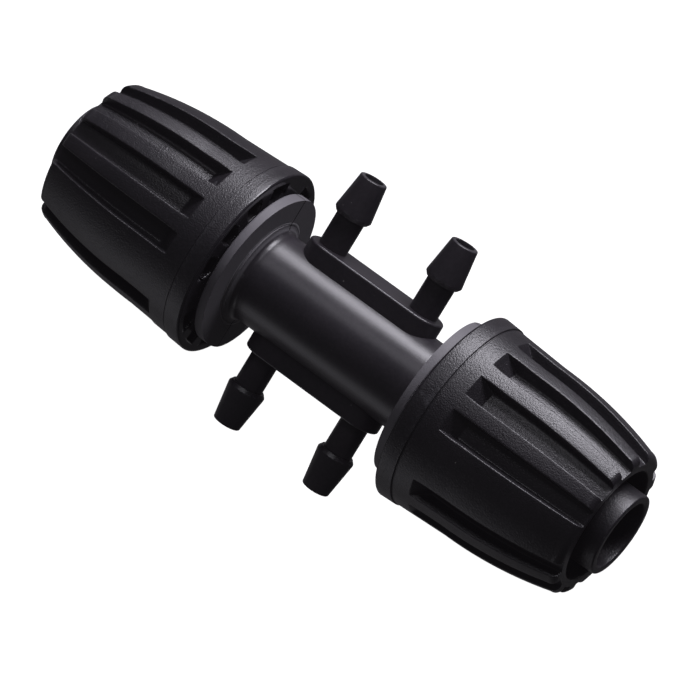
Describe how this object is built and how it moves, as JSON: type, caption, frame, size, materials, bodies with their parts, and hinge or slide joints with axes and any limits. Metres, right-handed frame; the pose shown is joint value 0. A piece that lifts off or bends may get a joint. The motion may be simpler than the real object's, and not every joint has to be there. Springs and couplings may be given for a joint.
{
  "type": "barbed hose manifold",
  "caption": "Straight irrigation hose manifold with side barbs for micro tube and a screw-on lock nut at each hose end.",
  "frame": {"origin": "on the hose axis, midway between the side barbs", "axes": "+X along the hose axis, Y along the side barbs, +Z square to both, up when the barbs lie level"},
  "size_m": [0.1084, 0.0452, 0.033],
  "materials": {
    "body_black": "semi-gloss moulded",
    "nut_black": "fine matt spark-eroded grain",
    "ring_black": "satin"
  },
  "bodies": {
    "manifold": {"manifold_body": "body_black"},
    "ring_right": {"grip_ring_right": "ring_black"},
    "nut_right": {"lock_nut_right": "nut_black"},
    "ring_left": {"grip_ring_left": "ring_black"},
    "nut_left": {"lock_nut_left": "nut_black"}
  },
  "joints": [
    {"name": "ring_right_slide", "type": "slide", "parent": "manifold", "child": "ring_right", "axis": [1, 0, 0], "range_m": [0, 0.009]},
    {"name": "nut_right_turn", "type": "hinge", "parent": "ring_right", "child": "nut_right", "pos_m": [0.037, 0, 0], "axis": [1, 0, 0], "range_deg": [0, 1081]},
    {"name": "ring_left_slide", "type": "slide", "parent": "manifold", "child": "ring_left", "axis": [-1, 0, 0], "range_m": [0, 0.009]},
    {"name": "nut_left_turn", "type": "hinge", "parent": "ring_left", "child": "nut_left", "pos_m": [-0.037, 0, 0], "axis": [-1, 0, 0], "range_deg": [0, 1081]}
  ],
  "couplings": [
    {"joint": "nut_right_turn", "follows": "ring_right_slide", "rad_per_m": 2094.4},
    {"joint": "nut_left_turn", "follows": "ring_left_slide", "rad_per_m": 2094.4}
  ]
}
